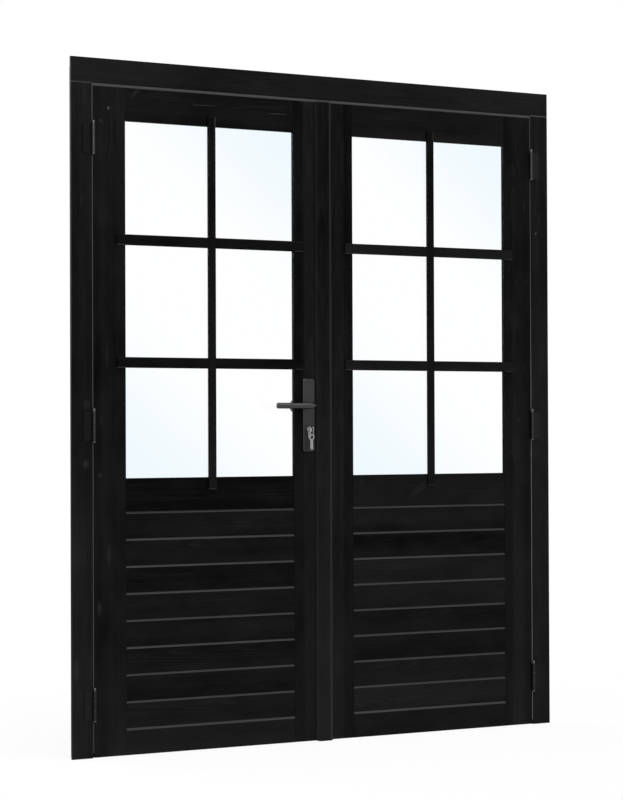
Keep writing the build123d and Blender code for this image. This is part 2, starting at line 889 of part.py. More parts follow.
def spare_key():
    """A second key that hangs twisted in the ring, with its bitting cut along one edge."""
    bow = flat_key(key_bow_y, spare_bow_z, spare_bow_radius, spare_bow_hole_radius)
    half_x, half_y = key_thickness / 2, spare_blade / 2
    foot_z = cylinder_z - spare_reach
    top_z = spare_bow_z - (spare_bow_radius + spare_bow_hole_radius) / 2
    low = (lock_x - half_x, key_bow_y - half_y, foot_z)
    key = bow + block(low, (lock_x + half_x, key_bow_y + half_y, top_z))
    pitch = (spare_bow_z - spare_bow_radius - foot_z) / len(spare_notch_shares)
    edge_y = key_bow_y + half_y
    for number, share in enumerate(spare_notch_shares):
        low_z = foot_z + pitch * number + pitch / 4
        low = (lock_x - key_thickness, edge_y - spare_notch * share, low_z)
        key -= block(low, (lock_x + key_thickness, edge_y + overrun, low_z + pitch / 2))
    return Pos(lock_x, key_bow_y) * Rot(0, 0, spare_twist) * Pos(-lock_x, -key_bow_y) * key


# Strike and slide bolts of the right leaf


def strike_pocket(end_x, middle_z, height):
    """Room for a bolt in the right leaf's edge, with more of it towards the front."""
    half_y, half_z = latch_width / 2, height / 2 + strike_back_room
    low = (meeting_x, -half_y - strike_front_room, middle_z - half_z)
    return block(low, (end_x, half_y + strike_back_room, middle_z + half_z))


def strike_pockets():
    latch = strike_pocket(latch_pocket_x, spindle_height, latch_height)
    return latch + strike_pocket(bolt_pocket_x, cylinder_z, bolt_height)


def strike_block(grow):
    half_y = forend_width / 2 + grow
    low = (meeting_x, -half_y, cylinder_z - strike_margin - grow)
    return block(low, (strike_x + grow, half_y, spindle_height + strike_margin + grow))


def slide_guide(end_z, towards):
    """A bolt's back plate with two guides; towards is 1 for an upper bolt and -1 for a lower one."""
    far_z = end_z - towards * slide_plate_length
    half = slide_plate_width / 2
    low_z, high_z = min(end_z, far_z), max(end_z, far_z)
    plate_back = back_y + slide_plate_thickness
    plate = block((slide_x - half, back_y, low_z), (slide_x + half, plate_back, high_z))
    plate = fillet(plate.edges().filter_by(Axis.Y), plate_corner)
    bore = slide_rod_radius + slide_clearance
    wall = bore + slide_guide_wall
    for foot_z in (low_z + slide_guide_inset, high_z - slide_guide_inset - slide_guide_height):
        top_z = foot_z + slide_guide_height
        web = block((slide_x - wall, back_y, foot_z), (slide_x + wall, slide_rod_y, top_z))
        plate += web + rod_z(slide_x, slide_rod_y, wall, foot_z, top_z)
    return plate - rod_z(slide_x, slide_rod_y, bore, low_z - overrun, high_z + overrun)


def slide_rod(end_z, towards):
    """A round bolt with a knob on its middle."""
    tip_z = end_z + towards * slide_rod_reach
    far_z = end_z - towards * (slide_plate_length - slide_travel)
    rod = rod_z(slide_x, slide_rod_y, slide_rod_radius, min(tip_z, far_z), max(tip_z, far_z))
    middle_z = end_z - towards * slide_plate_length / 2
    knob_end = slide_rod_y + slide_rod_radius + slide_knob_length
    return rod + rod_y(slide_x, middle_z, slide_knob_radius, slide_rod_y, knob_end)


def bolt_keeper():
    """A plate under the head's stop with the hole for the upper bolt."""
    half_x = keeper_length / 2
    low = (slide_x - half_x, stop_y, stop_z - keeper_thickness)
    plate = block(low, (slide_x + half_x, frame_back_y, stop_z))
    hole = slide_rod_radius + slide_hole_room
    return plate - rod_z(slide_x, slide_rod_y, hole, stop_z - keeper_thickness, stop_z)


# Assembly

right_jamb = jamb()
side_seal, head_seal = frame_seals()
node("right_jamb", right_jamb)
node("left_jamb", mirrored(right_jamb))
node("frame_head", frame_head())
node("right_jamb_seal", side_seal)
node("left_jamb_seal", mirrored(side_seal))
node("head_seal", head_seal)
node("bolt_keeper", bolt_keeper())

frame_plates = [frame_hinge_plate(height) for height in hinge_heights]
leaf_plates = [leaf_hinge_plate(height) for height in hinge_heights]
pins = [hinge_pin(height) for height in hinge_heights]
upright_bar, level_bars = muntin_bars()
boards = [board(index) for index in range(board_count)]
beads = glazing_beads()

# Each like piece is made once for the right leaf and mirrored for the left
paired = {
    "frame_hinge_plates": frame_plates,
    "hinge_pins": pins,
    "leaf_hinge_plates": leaf_plates,
    "hinge_stile": [hinge_stile()],
    "top_rail": [top_rail()],
    "bottom_rail": [bottom_rail()],
    "panel_boards": boards,
    "glass": [glass_pane()],
    "glazing_beads": beads,
    "muntin_upright": [upright_bar],
    "muntin_cross_bars": level_bars,
}
for name, pieces in paired.items():
    node("right_" + name, *pieces)
    node("left_" + name, *[mirrored(piece) for piece in pieces])

# The lock and the strike are let into the meeting stiles and whatever tenon they reach
lock_room = lock_mortises()
strike_room = strike_block(joint_clearance) + strike_pockets()
for name, piece in (("meeting_stile", meeting_stile()), ("lock_rail", lock_rail())):
    node("left_" + name, mirrored(piece) - lock_room)
    node("right_" + name, piece - strike_room)
node("cover_strip", cover_strip())

node("lock_case", lock_case())
node("lock_forend", lock_forend())
node("latch_bolt", latch_bolt())
node("dead_bolt", dead_bolt())
node("latch_hub", latch_hub())
node("lock_cylinder", cylinder_body())
node("cylinder_plug", cylinder_plug())
node("house_key", house_key())
node("key_ring", key_ring())
node("spare_key", spare_key())
node("strike_plate", strike_block(0) - strike_pockets())

node("outer_handle_plate", outer_handle_plate())
node("inner_handle_plate", inner_handle_plate())
node("handle_bolts", *[handle_bolt(height) for height in handle_bolt_heights])
node("outer_lever", outer_lever())
node("inner_knob", inner_knob())
node("spindle", spindle_bar(0))

node("top_slide_guide", slide_guide(top_plate_z, 1))
node("top_slide_rod", slide_rod(top_plate_z, 1))
node("foot_slide_guide", slide_guide(foot_plate_z, -1))
node("foot_slide_rod", slide_rod(foot_plate_z, -1))

os.makedirs("parts", exist_ok=True)
for name, piece in nodes.items():
    export_step(piece, f"parts/{name}.step")
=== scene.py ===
import logging
import math
import random
from dataclasses import dataclass, field
from enum import Enum
from typing import Any, Optional, Sequence, Union

import bmesh
import bpy
from mathutils import Matrix, Vector


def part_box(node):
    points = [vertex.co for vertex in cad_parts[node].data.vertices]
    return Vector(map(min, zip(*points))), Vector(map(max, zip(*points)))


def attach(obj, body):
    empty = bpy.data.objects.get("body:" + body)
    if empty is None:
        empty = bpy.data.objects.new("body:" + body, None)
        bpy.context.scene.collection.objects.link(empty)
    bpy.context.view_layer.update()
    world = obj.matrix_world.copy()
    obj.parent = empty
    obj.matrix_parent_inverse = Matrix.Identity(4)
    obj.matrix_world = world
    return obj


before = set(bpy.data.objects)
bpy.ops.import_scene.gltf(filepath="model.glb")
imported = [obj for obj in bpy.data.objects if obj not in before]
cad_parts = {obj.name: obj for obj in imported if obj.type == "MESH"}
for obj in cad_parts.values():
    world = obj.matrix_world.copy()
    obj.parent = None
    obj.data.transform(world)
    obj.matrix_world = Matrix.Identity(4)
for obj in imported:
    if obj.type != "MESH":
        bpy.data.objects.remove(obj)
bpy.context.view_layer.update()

log = logging.getLogger("french_doors")
scene = bpy.context.scene

MM = 0.001
MEAN = 0.5  # Of noise

# Places that the solids share, in metres
FRONT_Y = -0.020
BACK_Y = 0.020
AXIS_X = 0.7725
BAR_X = 0.386
BOLT_X = 53.25 * MM
HINGE_HEIGHTS = (1.7775, 0.9495, 0.150)
PLATE_Z = (0.3, 0.8)
KNUCKLE_Z = (0.5, 1.8)
HANDLE_Z = (0.880, 1.085)
PANEL_TOP_Z = 0.7039
BOARD_PITCH = 0.0781
BOARD_COUNT = 8

Material = bpy.types.Material
Pair = tuple[float, float]
Point = tuple[float, float, float]
Given = Union[float, int, tuple, "Value"]
Sockets = dict[Union[int, str], Given]


class Side(Enum):
    """The two leaves, with the sign of X on which each lies."""

    LEFT = -1
    RIGHT = 1

    def named(self, piece: str) -> str:
        """The full name of a piece on this side."""
        return f"{self.name.lower()}_{piece}"


class Grain(Enum):
    """The way in which fibres, brush lines or edges run."""

    LEVEL = "X"
    UPRIGHT = "Z"


class Value:
    """One socket of a shader. Python's operators on it add the Math nodes."""

    smooth = {"interpolation_type": "SMOOTHSTEP", "clamp": True}

    def __init__(self, sheet: "Sheet", socket: bpy.types.NodeSocket) -> None:
        """Keeps the socket and the sheet that it is on."""
        self.sheet = sheet
        self.socket = socket

    def other(self, name: str) -> "Value":
        """Another output of the same node."""
        return Value(self.sheet, self.socket.node.outputs[name])

    def _math(self, operation: str, first: Given, second: Given = 0.0) -> "Value":
        """The result of one Math node."""
        return self.sheet.node("ShaderNodeMath", {"operation": operation}, {0: first, 1: second})

    def __add__(self, other: Given) -> "Value":
        """self + other."""
        return self._math("ADD", self, other)

    __radd__ = __add__

    def __sub__(self, other: Given) -> "Value":
        """self - other."""
        return self._math("SUBTRACT", self, other)

    def __rsub__(self, other: Given) -> "Value":
        """other - self."""
        return self._math("SUBTRACT", other, self)

    def __mul__(self, other: Given) -> "Value":
        """self * other."""
        return self._math("MULTIPLY", self, other)

    __rmul__ = __mul__

    def __truediv__(self, other: Given) -> "Value":
        """self / other."""
        return self._math("DIVIDE", self, other)

    def __abs__(self) -> "Value":
        """The size of the value without its sign."""
        return self._math("ABSOLUTE", self)

    def root(self) -> "Value":
        """The square root."""
        return self._math("SQRT", self)

    def fraction(self) -> "Value":
        """What is left over the next whole number below."""
        return self._math("FRACT", self)

    def floor(self) -> "Value":
        """The next whole number below."""
        return self._math("FLOOR", self)

    def most(self, other: Given) -> "Value":
        """The larger of two values."""
        return self._math("MAXIMUM", self, other)

    def step(self, low: float, high: float, start: float = 0.0, end: float = 1.0) -> "Value":
        """A smooth step from start to end, between a low and a high place."""
        places = {"From Min": low, "From Max": high, "To Min": start, "To Max": end}
        return self.sheet.node("ShaderNodeMapRange", self.smooth, {"Value": self, **places})

    def fall(self, low: float, high: float, start: float = 1.0) -> "Value":
        """A smooth step from its start down to 0."""
        return self.step(low, high, start, 0.0)

    def within(self, low: float, high: float, soft: float) -> "Value":
        """1 between two places, with soft edges outside them."""
        return self.step(low - soft, low) * self.fall(high, high + soft)


@dataclass(frozen=True)
class Ramp:
    """The stops of a ramp: places and levels that step or flow."""

    stops: tuple[Pair, ...]
    flows: bool = False


@dataclass(frozen=True)
class Fade:
    """A grey level that changes between two heights, from the foot to the head."""

    foot: float
    head: float
    heights: Pair


Level = Union[float, Fade]
Place = tuple[Value, Value, Value]


def grey(level: float) -> tuple[float, float, float, float]:
    """A neutral grey."""
    return (level, level, level, 1.0)


class Sheet:
    """The node tree of one material, or of the world."""

    colours = {"data_type": "RGBA", "clamp_factor": True}

    def __init__(self, owner: Union[Material, bpy.types.World]) -> None:
        """Starts with an empty tree.

        Args:
            owner: The material or the world.
        """
        owner.use_nodes = True
        self.owner = owner
        self.tree = owner.node_tree
        self.tree.nodes.clear()

    @staticmethod
    def _socket(sockets: Any, key: Union[int, str]) -> bpy.types.NodeSocket:
        """Finds a socket by its number, its identifier or its name."""
        named = (s for s in sockets if key in (s.identifier, s.name))
        return sockets[key] if isinstance(key, int) else next(named)

    @staticmethod
    def _set_ramp(ramp: bpy.types.ColorRamp, wanted: Ramp) -> None:
        """Sets the stops of a ramp.

        Args:
            ramp: The node's ramp.
            wanted: Its places and grey levels.
        """
        ramp.interpolation = "LINEAR" if wanted.flows else "CONSTANT"
        while len(ramp.elements) < len(wanted.stops):
            ramp.elements.new(1.0)
        for element, (position, level) in zip(ramp.elements, wanted.stops):
            element.position = position
            element.color = grey(level)

    def node(
        self, kind: str, settings: Optional[dict[str, Any]] = None,
        inputs: Optional[Sockets] = None, output: Union[int, str] = 0,
    ) -> Value:
        """Adds a node.

        Args:
            kind: The node's type.
            settings: Its properties, and the stops of a ramp.
            inputs: The numbers, colours or links of its sockets.
            output: The output that is wanted.

        Returns:
            That output, or the first input of a node that ends a tree.
        """
        made = self.tree.nodes.new(kind)
        for key, setting in (settings or {}).items():
            if isinstance(setting, Ramp):
                self._set_ramp(made.color_ramp, setting)
            else:
                setattr(made, key, setting)
        for key, given in (inputs or {}).items():
            socket = self._socket(made.inputs, key)
            if isinstance(given, Value):
                self.tree.links.new(given.socket, socket)
            else:
                socket.default_value = given
        return Value(self, self._socket(made.outputs or made.inputs, output))

    def place(self) -> Place:
        """The X, Y and Z of a point on the piece, in metres of the shared frame.

        Returns:
            The three values.
        """
        point = self.node("ShaderNodeTexCoord", output="Object")
        x = self.node("ShaderNodeSeparateXYZ", inputs={0: point})
        return x, x.other("Y"), x.other("Z")

    def ramp(self, stops: tuple[Pair, ...], share: Value, flows: bool = False) -> Value:
        """The level of a ramp at a share of its length."""
        return self.node("ShaderNodeValToRGB", {"color_ramp": Ramp(stops, flows)}, {0: share})

    def vector(self, x: Given, y: Given, z: Given) -> Value:
        """A vector of three values."""
        return self.node("ShaderNodeCombineXYZ", inputs={0: x, 1: y, 2: z})

    def noise(self, where: Value, scale: float, detail: float = 2.0, rough: float = 0.5) -> Value:
        """Soft noise between about 0 and 1."""
        inputs = {"Vector": where, "Scale": scale, "Detail": detail, "Roughness": rough}
        return self.node("ShaderNodeTexNoise", {"noise_dimensions": "3D"}, inputs)

    def chance(self, number: Value, low: float, high: float) -> Value:
        """An even random value between two limits for each number."""
        drawn = self.node("ShaderNodeTexWhiteNoise", {"noise_dimensions": "1D"}, {"W": number})
        return drawn * (high - low) + low

    def mix(self, factor: Value, first: Given, second: Given) -> Value:
        """A colour between two colours."""
        inputs = {"Factor_Float": factor, "A_Color": first, "B_Color": second}
        return self.node("ShaderNodeMix", self.colours, inputs, "Result_Color")

    def about(self, level: Level, spread: float, shade: Value, z: Value) -> Value:
        """A grey that varies about a level.

        Args:
            level: The level, which may fade with the height.
            spread: How far it varies, as a share of the level.
            shade: The variation, from 0 to 1.
            z: The height.

        Returns:
            The colour.
        """
        if isinstance(level, Fade):
            foot, head = (self.about(end, spread, shade, z) for end in (level.foot, level.head))
            return self.mix(z.step(*level.heights), foot, head)
        return self.mix(shade, grey(level * (1 - spread)), grey(level * (1 + spread)))

    def bump(self, height: Value, strength: float, distance: float) -> Value:
        """A normal with small relief."""
        inputs = {"Height": height, "Strength": strength, "Distance": distance}
        return self.node("ShaderNodeBump", inputs=inputs)

    def surface(self, inputs: Sockets) -> Material:
        """Closes the sheet with a Principled shader.

        Args:
            inputs: The shader's sockets.

        Returns:
            The finished material.
        """
        shader = self.node("ShaderNodeBsdfPrincipled", inputs=inputs)
        self.node("ShaderNodeOutputMaterial", inputs={"Surface": shader})
        return self.owner


@dataclass(frozen=True)
class Tones:
    """How pale a timber's stain is, from 0 for the blackest to 1.

    The stops give the tone at places along the grain. Each strip starts at a place across the
    grain, and differs from the strip before it by the change that follows.
    """

    stops: tuple[Pair, ...]
    strips: tuple[Pair, ...] = ()

    strip_soft = 1.5 * MM

    def at(self, along: Value, level: Value) -> Value:
        """The tone at a point.

        Args:
            along: The place along the grain.
            level: The place across it.

        Returns:
            The tone.
        """
        first, last = self.stops[0][0], self.stops[-1][0]
        stops = tuple(((place - first) / (last - first), pale) for place, pale in self.stops)
        tone = along.sheet.ramp(stops, (along - first) / (last - first), flows=True)
        for place, change in self.strips:
            strip = level.step(place - self.strip_soft, place + self.strip_soft)
            tone = strip * change + tone
        return tone


@dataclass(frozen=True)
class Knot:
    """A small pale knot in an upright timber: its place, radius and strength.

    Distances from it are in radii.
    """

    x: float
    z: float
    radius: float
    strength: float

    long_share = 0.4
    ring_reach = (1.0, 2.6)
    ring_rate = 2.4
    core_reach = (0.15, 0.75)

    def distance(self, x: Value, z: Value) -> Value:
        """How far a point is from the knot, which is longer along the grain."""
        far_x, far_z = (x - self.x) / self.radius, (z - self.z) / self.radius
        return (far_z * far_z * self.long_share + far_x * far_x).root()

    def bend(self, rings: Value, away: Value) -> Value:
        """The timber's rings, turned into rings round the knot where it is near."""
        inside = away.fall(*self.ring_reach)
        return rings * (1 - inside) + away * self.ring_rate * inside

    def core(self, away: Value) -> Value:
        """How thin the stain is on the knot's middle."""
        return away.fall(*self.core_reach, self.strength)


@dataclass(frozen=True)
class Scuff:
    """A thin pale streak on a timber's face, between two places across the door."""

    start_x: float
    end_x: float
    z: float

    strength = 0.2
    end_fade = 12 * MM
    rise = 0.03
    waver = 4 * MM
    edge = (0.6 * MM, 2.0 * MM)

    def mask(self, x: Value, z: Value, blotch: Value) -> Value:
        """How thin the stain is at a place; the streak wavers with the blotch."""
        line = z - self.z - (x - self.start_x) * self.rise - (blotch - MEAN) * self.waver
        return abs(line).fall(*self.edge, self.strength) * x.within(
            self.start_x + self.end_fade, self.end_x - self.end_fade, self.end_fade)


@dataclass(frozen=True)
class RubAndHighlightPatch:
    """A soft pale patch: its middle, half width and half height. Most are where the stain is rubbed
    thin; the one near the top of a glazing bar's upright is a painted highlight.

    A slope slants it, by the rise for each step across the door.
    """

    x: float
    z: float
    half_width: float
    half_height: float
    strength: float
    slope: float = 0.0

    raggedness = 1.2
    edge = (0.25, 1.1)

    def mask(self, x: Value, z: Value, blotch: Value) -> Value:
        """How pale the patch is at a place.

        Args:
            x: The place across the door.
            z: Its height.
            blotch: The noise that makes it ragged.

        Returns:
            The mask, up to its strength.
        """
        aside = x - self.x
        above = z - self.z - aside * self.slope
        far_x, far_z = aside / self.half_width, above / self.half_height
        away = (far_x * far_x + far_z * far_z).root() + (blotch - MEAN) * self.raggedness
        return away.fall(*self.edge, self.strength)


@dataclass(frozen=True)
class ThinStainAndHighlightEdge:
    """A pale line along an edge, between two places across the way it runs: a painted highlight
    where a bevel or arris would catch the light, with rubbed stain or raw wood in it on the cover
    strip and at the head joints.
    """

    runs: Grain
    low: float
    high: float
    strength: float = 0.5
    reach: Pair = (-1.0, 1.0)

    soft = 0.4 * MM

    def mask(self, x: Value, z: Value, blotch: Value) -> Value:
        """How strong the pale line is at a place, whatever the blotch."""
        inside = (x if self.runs is Grain.UPRIGHT else z).within(self.low, self.high, self.soft)
        return inside * x.within(*self.reach, self.soft) * self.strength


Mark = Union[Scuff, RubAndHighlightPatch, ThinStainAndHighlightEdge]


@dataclass
class Lay:
    """How a timber lies in its trunk, for a point on its face.

    The shift sets its noise apart. The rings' middle lies at the heart across the grain and at
    the depth behind the face, and the taper moves it along the grain. The tone is the stain's,
    and bare_and_highlight gives the share of pale colour: thin stain, and the painted highlight on
    a board's bevel.
    """

    along: Value
    across: Value
    y: Value
    shift: Given
    heart: Given
    depth: Given
    taper: Given
    tone: Given
    bare_and_highlight: Given = 0.0


@dataclass(frozen=True)
class Fleck:
    """Noise that is drawn out along the grain: its rates along and across it, and its weight."""

    along: float
    across: float
    weight: float
    detail: float = 2.0
    rough: float = 0.5
    scale: float = 1.0

    def noise(self, lay: Lay) -> Value:
        """The noise at a point, between about 0 and 1."""
        point = (lay.along * self.along + lay.shift, lay.across * self.across, lay.y * self.across)
        return lay.y.sheet.noise(lay.y.sheet.vector(*point), self.scale, self.detail, self.rough)

    def swing(self, noise: Value) -> Value:
        """The noise about its mean, by its weight."""
        return (noise - MEAN) * self.weight


@dataclass(frozen=True)
class StainedWood:
    """Softwood under black stain, with rings, fibres, blotches, knots, pale marks and painted
    highlights on bevels and edges.

    A timber has one tone or several. A run of boards has one for each board, from the top.
    """

    name: str
    grain: Grain
    middle: float
    tones: Union[float, Tones] = 0.4
    board_tones: tuple[float, ...] = ()
    knots: tuple[Knot, ...] = ()
    marks: tuple[Mark, ...] = ()
    back_edges: tuple[ThinStainAndHighlightEdge, ...] = ()
    contrast: float = 0.45

    darkest = grey(0.0007)
    palest = grey(0.0150)
    # Pale colour of thin stain, also used for the painted highlights on bevels and edges
    thin = grey(0.085)
    thin_base = 0.6
    thin_streak = 0.7
    face_y = (FRONT_Y + 6 * MM, FRONT_Y + 9 * MM)

    shift_span = (0, 40)
    heart_span = (-0.025, 0.025)
    depth_span = (0.012, 0.045)
    taper_span = (0.012, 0.026)
    board_shift = 3.71
    board_depth_span = (0.012, 0.047)
    board_taper_span = (-0.07, 0.07)
    depth_draw = 0.37
    taper_draw = 0.71
    # Each board's top bevel, which gets a painted highlight
    bevel = 6.5 * MM
    bevel_soft = 0.2 * MM
    bevel_highlight_strength = 0.5

    ring_pitch = 6.5 * MM
    wander = Fleck(1.6, 3.0, 30 * MM)
    lift = Fleck(1.6, 3.0, 30 * MM, 1.0, scale=2.1)
    wobble = Fleck(9.0, 160.0, 0.5)
    late_rise = (0.30, 0.85)
    late_end = (0.90, 1.0)
    late_mean = 0.35
    late_patches = (0.46, 0.62)
    late_weights = (0.08, 0.42)

    fibre = Fleck(7.0, 420.0, 0.20, 4.0, 0.65)
    streak = Fleck(1.1, 90.0, 0.32)
    blotch = Fleck(3.0, 16.0, 1.20, 3.0, 0.55)
    band = Fleck(0.5, 26.0, 0.90, 1.0)
    cloud = Fleck(10.0, 24.0, 0.85)

    gloss = 0.03
    roughness = 0.50
    fibre_rough = 0.20
    blotch_rough = 0.12
    late_polish = 0.07
    fibre_relief = 0.7
    late_relief = 0.5
    streak_relief = 0.3
    relief = (0.35, 0.35 * MM)

    def make(self) -> Material:
        """Builds the material.

        Returns:
            The material, named for the piece.
        """
        sheet = Sheet(bpy.data.materials.new(self.name))
        place = x, y, z = sheet.place()
        lay = self._board_lay(place) if self.board_tones else self._timber_lay(place)
        knots = [(knot, knot.distance(x, z)) for knot in self.knots]
        late = self._late_wood(lay, knots)
        flecks = (self.fibre, self.streak, self.blotch, self.band, self.cloud)
        noises = [fleck.noise(lay) for fleck in flecks]
        fibre, streak, blotch = noises[:3]
        shown = blotch.step(*self.late_patches, *self.late_weights)
        pattern = (late - self.late_mean) * shown
        for fleck, noise in zip(flecks, noises):
            pattern = pattern + fleck.swing(noise)
        colour = sheet.mix(lay.tone + pattern * self.contrast, self.darkest, self.palest)

        # Where the stain is thin, the wood under it shows in streaks; the same pale colour also
        # paints highlights on bevels and edges
        front = y.fall(*self.face_y)
        bare_and_highlight = lay.bare_and_highlight
        for mark in self.marks:
            bare_and_highlight = mark.mask(x, z, blotch) * front + bare_and_highlight
        for edge in self.back_edges:
            bare_and_highlight = edge.mask(x, z, blotch) * (1 - front) + bare_and_highlight
        for knot, away in knots:
            bare_and_highlight = knot.core(away) * front + bare_and_highlight
        if isinstance(bare_and_highlight, Value):
            share = bare_and_highlight * (streak * self.thin_streak + self.thin_base)
            colour = sheet.mix(share, colour, self.thin)

        uneven = (fibre - MEAN) * self.fibre_rough + (blotch - MEAN) * self.blotch_rough
        height = fibre * self.fibre_relief + late * self.late_relief + streak * self.streak_relief
        return sheet.surface({
            "Base Color": colour,
            "Roughness": self.roughness + uneven - late * self.late_polish,
            "Specular IOR Level": self.gloss,
            "Normal": sheet.bump(height, *self.relief),
        })

    def _board_lay(self, place: Place) -> Lay:
        """The lay of the board that a point is on.

        Args:
            place: The point.

        Returns:
            The lay, with a painted highlight on the bevel at the board's top.
        """
        x, y, z = place
        sheet = z.sheet
        number = ((PANEL_TOP_Z - z) / BOARD_PITCH).floor()
        across = z - PANEL_TOP_Z + (number + 0.5) * BOARD_PITCH
        shift = number * self.board_shift + random.Random(self.name).uniform(*self.shift_span)
        stops = tuple((index / BOARD_COUNT, tone) for index, tone in enumerate(self.board_tones))
        # Painted highlight on the bevel at the board's top
        edge = BOARD_PITCH / 2 - self.bevel
        bevel = across.step(edge - self.bevel_soft, edge + self.bevel_soft)
        return Lay(
            along=x, across=across, y=y, shift=shift,
            heart=sheet.chance(shift, *self.heart_span),
            depth=sheet.chance(shift + self.depth_draw, *self.board_depth_span),
            taper=sheet.chance(shift + self.taper_draw, *self.board_taper_span),
            tone=sheet.ramp(stops, (number + 0.5) / BOARD_COUNT),
            bare_and_highlight=bevel * self.bevel_highlight_strength,
        )

    def _timber_lay(self, place: Place) -> Lay:
        """The lay of a single timber.

        Args:
            place: The point.

        Returns:
            The lay.
        """
        x, y, z = place
        along, level = (z, x) if self.grain is Grain.UPRIGHT else (x, z)
        dice = random.Random(self.name)
        even = isinstance(self.tones, float)
        return Lay(
            along=along, across=level - self.middle, y=y,
            shift=dice.uniform(*self.shift_span),
            heart=dice.uniform(*self.heart_span),
            depth=dice.uniform(*self.depth_span),
            taper=dice.choice((-1, 1)) * dice.uniform(*self.taper_span),
            tone=self.tones if even else self.tones.at(along, level),
        )

    def _late_wood(self, lay: Lay, knots: Sequence[tuple[Knot, Value]]) -> Value:
        """The late wood of the rings, which takes less stain.

        The rings' heart wanders and comes nearer along the timber, which arches the grain.

        Args:
            lay: The timber's lay.
            knots: The knots, each with the distance from it.

        Returns:
            A mask of the late wood.
        """
        aside = lay.across - lay.heart + self.wander.swing(self.wander.noise(lay))
        deep = lay.y + lay.depth + lay.along * lay.taper + self.lift.swing(self.lift.noise(lay))
        rings = (aside * aside + deep * deep).root() / self.ring_pitch
        rings = rings + self.wobble.swing(self.wobble.noise(lay))
        for knot, away in knots:
            rings = knot.bend(rings, away)
        saw = rings.fraction()
        return saw.step(*self.late_rise) * saw.fall(*self.late_end)


@dataclass(frozen=True)
class SatinMetal:
    """Plated or satin metal with fine brush lines, faint spots and a painted highlight.

    The painted highlight starts in front of knuckle_highlight_y, on the round fronts of the hinge
    knuckles.
    """

    name: str
    level: Level
    roughness: float
    brush: Grain = Grain.UPRIGHT
    knuckle_highlight: Optional[Fade] = None

    knuckle_highlight_y = -0.0232
    knuckle_highlight_soft = 0.6 * MM
    fine_rate = 2600.0
    long_rate = 40.0
    spots = (130.0, 3.0, 0.6)
    brush_share = 0.45
    spot_share = 0.55
    spread = 0.28
    brush_rough = 0.14
    spot_rough = 0.16
    relief = (0.10, 0.04 * MM)

    def make(self) -> Material:
        """Builds the material.

        Returns:
            The material, named for the finish.
        """
        sheet = Sheet(bpy.data.materials.new(self.name))
        x, y, z = sheet.place()
        rate_x, rate_z = self.fine_rate, self.long_rate
        if self.brush is Grain.LEVEL:
            rate_x, rate_z = rate_z, rate_x
        brushed = sheet.noise(sheet.vector(x * rate_x, y * self.fine_rate, z * rate_z), 1.0)
        spots = sheet.noise(sheet.vector(x, y, z), *self.spots)
        shade = brushed * self.brush_share + spots * self.spot_share
        colour = sheet.about(self.level, self.spread, shade, z)
        # Painted highlight on the knuckles' round fronts, paler towards the head
        if self.knuckle_highlight:
            bright = sheet.about(self.knuckle_highlight, self.spread, shade, z)
            colour = sheet.mix(y.fall(self.knuckle_highlight_y - self.knuckle_highlight_soft, self.knuckle_highlight_y), colour, bright)
        uneven = (brushed - MEAN) * self.brush_rough + (spots - MEAN) * self.spot_rough
        return sheet.surface({
            "Base Color": colour,
            "Metallic": 1.0,
            "Roughness": self.roughness + uneven,
            "Normal": sheet.bump(brushed, *self.relief),
        })


@dataclass(frozen=True)
class SoftSeal:
    """Grey soft seal with faint ribs along its length and dust on it."""

    name: str
    level: Level
    ribs: Grain

    rib_rate = 900.0
    rib_share = 0.2
    dust = (45.0, 4.0, 0.6)
    dust_share = 0.8
    spread = 0.3
    roughness = 0.62
    dust_rough = 0.2
    gloss = 0.2
    dust_relief = 0.3
    relief = (0.25, 0.2 * MM)

    def make(self) -> Material:
        """Builds the material.

        Returns:
            The material, named for the finish.
        """
        sheet = Sheet(bpy.data.materials.new(self.name))
        x, y, z = sheet.place()
        side = x if self.ribs is Grain.UPRIGHT else z
        rib = abs(((side + y) * self.rib_rate).fraction() - 0.5) * 2.0
        dust = sheet.noise(sheet.vector(x, y, z), *self.dust)
        shade = dust * self.dust_share + rib * self.rib_share
        return sheet.surface({
            "Base Color": sheet.about(self.level, self.spread, shade, z),
            "Roughness": self.roughness + (dust - MEAN) * self.dust_rough,
            "Specular IOR Level": self.gloss,
            "Normal": sheet.bump(rib + dust * self.dust_relief, *self.relief),
        })


@dataclass(frozen=True)
class ClearGlass:
    """Clear float glass with faint wipe marks; a painted sky reflection tints two corners bluish.
    """

    name: str
    middle_x: float

    width = 0.564
    foot_z = 0.800
    head_z = 1.833
    clear = (0.995, 0.998, 1.0, 1.0)
    sky_reflection_tint = (0.865, 0.945, 0.982, 1.0)
    sky_reflection_reach = (0.25, 0.95)
    lean_x = 0.6
    lean_z = 1.4
    wipe_x = 3.0
    wipe_z = 9.0
    wipes = (2.0, 3.0, 0.5)
    roughness = 0.004
    wipe_rough = 0.008
    ior = 1.45
    mirroring = grey(0.3)

    def make(self) -> Material:
        """Builds the material.

        Returns:
            The material, named for the finish.
        """
        sheet = Sheet(bpy.data.materials.new(self.name))
        x, y, z = sheet.place()
        wiped = sheet.noise(sheet.vector(x * self.wipe_x, y, z * self.wipe_z), *self.wipes)
        aside = (x - self.middle_x) / self.width
        above = (z - self.foot_z) / (self.head_z - self.foot_z) - 0.5
        # Painted reflection of a bluish sky, towards two corners of the pane
        corner = abs(aside * self.lean_x + above * self.lean_z).step(*self.sky_reflection_reach)
        return sheet.surface({
            "Base Color": sheet.mix(corner, self.clear, self.sky_reflection_tint),
            "Roughness": self.roughness + wiped * self.wipe_rough,
            "IOR": self.ior,
            "Specular Tint": self.mirroring,
            "Transmission Weight": 1.0,
        })


